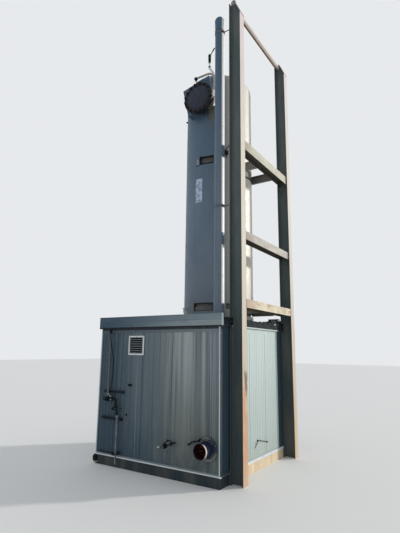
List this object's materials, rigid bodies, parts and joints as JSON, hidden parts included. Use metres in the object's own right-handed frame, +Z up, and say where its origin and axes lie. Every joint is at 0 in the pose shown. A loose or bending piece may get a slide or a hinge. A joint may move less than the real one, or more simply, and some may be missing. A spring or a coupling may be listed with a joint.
{
  "type": "gas sweetening skid",
  "caption": "Insulated steel housing on a skid with a tall contactor tower and vent stack through its roof, tied by ring arms to an upright post frame alongside.",
  "frame": {"origin": "centre of the housing's skid, on the ground", "axes": "+X to the right along the front wall, towards the upright frame; +Y from the front wall to the back; +Z up"},
  "size_m": [2.744, 2.855, 8.0291],
  "materials": {
    "skid_steel": "cream paint with rust",
    "frame_steel": "cream paint with rust",
    "wall_cladding": "satin blue-grey ribbed sheet",
    "trim": "satin",
    "roof_sheet": "satin",
    "vessel_jacket": "satin off-white",
    "vessel_steel": "grey primer",
    "manway_iron": "weathered dark brown",
    "davit_steel": "dark weathered",
    "stack_paint": "satin off-white",
    "galvanised": "dull zinc",
    "louvre_metal": "satin",
    "pipe_steel": "bare steel with rust",
    "valve_body": "dark",
    "white_fitting": "white paint",
    "floor_steel": "worn"
  },
  "bodies": {
    "root": {"back_wall": "wall_cladding", "base_flashing": "trim", "bottom_head": "vessel_steel", "conduit": "galvanised", "corner_trims": "trim", "davit_socket": "stack_paint", "drain_pipe": "white_fitting", "drain_valve": "valve_body", "eave_trim": "trim", "floor_plate": "floor_steel", "front_fascia": "wall_cladding", "front_post": "frame_steel", "front_wall": "wall_cladding", "head_valve": "valve_body", "head_vent": "white_fitting", "left_wall": "wall_cladding", "louvre": "louvre_metal", "lower_beam": "frame_steel", "lower_strut": "galvanised", "lower_support_arms": "vessel_steel", "lower_support_ring": "vessel_steel", "manway_box": "vessel_jacket", "manway_cover": "manway_iron", "manway_davit": "davit_steel", "manway_flange": "manway_iron", "manway_neck": "vessel_steel", "middle_beam": "frame_steel", "nose_plates": "frame_steel", "outlet_pipe": "pipe_steel", "outlet_plate": "louvre_metal", "rear_post": "frame_steel", "regulator": "valve_body", "right_wall": "wall_cladding", "roof_panel": "roof_sheet", "skid_back_beam": "skid_steel", "skid_cross_beams": "skid_steel", "skid_front_beam": "skid_steel", "skid_right_beam": "skid_steel", "skid_spacers": "skid_steel", "stack_cap": "stack_paint", "stack_collar": "roof_sheet", "stack_stays": "frame_steel", "top_beam": "frame_steel", "top_head": "vessel_jacket", "tow_pipe": "skid_steel", "tower_collar": "roof_sheet", "tower_jacket": "vessel_jacket", "tower_shell": "vessel_steel", "tower_skirt": "vessel_steel", "tubing": "galvanised", "upper_beam": "frame_steel", "upper_strut": "galvanised", "upper_support_arms": "vessel_steel", "upper_support_ring": "vessel_steel", "vent_stack": "stack_paint"}
  },
  "joints": []
}
